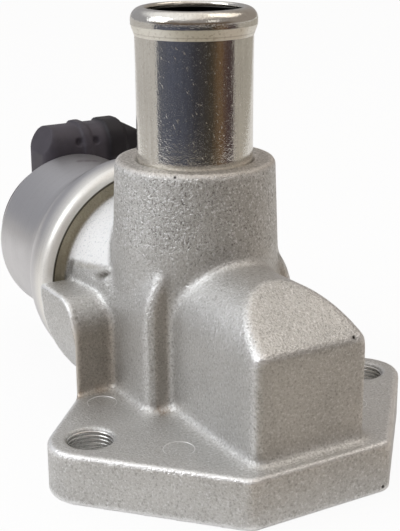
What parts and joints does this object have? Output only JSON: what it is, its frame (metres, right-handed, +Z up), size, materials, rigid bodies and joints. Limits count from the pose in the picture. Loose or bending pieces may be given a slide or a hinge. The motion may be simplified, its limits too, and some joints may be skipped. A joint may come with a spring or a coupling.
{
  "type": "idle air control valve",
  "caption": "Solenoid idle air valve: die-cast body with bolt-on flange and sloped elbow pod, beaded steel hose tube, crimped solenoid can and side-facing plug socket.",
  "frame": {"origin": "middle of the flange's bottom face, halfway between the bolt holes", "axes": "+X along the line of the bolt holes, +Y along the valve's axis towards the solenoid can, +Z up along the hose tube"},
  "size_m": [0.0652, 0.0981, 0.0712],
  "materials": {
    "cast_aluminium": "shot-blasted die casting, matt with fine sparkle",
    "zinc_tube": "bright zinc plate",
    "plated_can": "satin zinc plate",
    "black_plastic": "glass-filled moulding, satin",
    "brass": "turned",
    "machined_aluminium": "turned",
    "spring_steel": "drawn",
    "machined_steel": "turned",
    "seal_rubber": "moulded",
    "bobbin_plastic": "natural nylon",
    "copper": "enamelled wire",
    "tinned_contact": "tin plate"
  },
  "bodies": {
    "housing": {"valve_body": "cast_aluminium", "hose_tube": "zinc_tube", "solenoid_can": "plated_can", "connector_housing": "black_plastic", "valve_seat": "brass", "return_spring": "spring_steel", "front_pole_plate": "machined_steel", "front_guide_bush": "brass", "can_seal_ring": "seal_rubber", "guide_sleeve": "brass", "coil_bobbin": "bobbin_plastic", "coil_winding": "copper", "fixed_core": "machined_steel", "rear_guide_bush": "brass", "rear_pole_plate": "machined_steel", "rear_seal_ring": "seal_rubber", "terminal_upper": "tinned_contact", "terminal_lower": "tinned_contact"},
    "plunger": {"armature": "machined_steel", "valve_rod": "machined_steel", "valve_poppet": "machined_aluminium", "poppet_clip": "spring_steel"}
  },
  "joints": [
    {"name": "plunger_slide", "type": "slide", "parent": "housing", "child": "plunger", "axis": [0, 1, 0], "range_m": [0, 0.004], "stiffness_N_per_m": 400, "springref_m": -0.004, "deforming": ["return_spring"]}
  ]
}
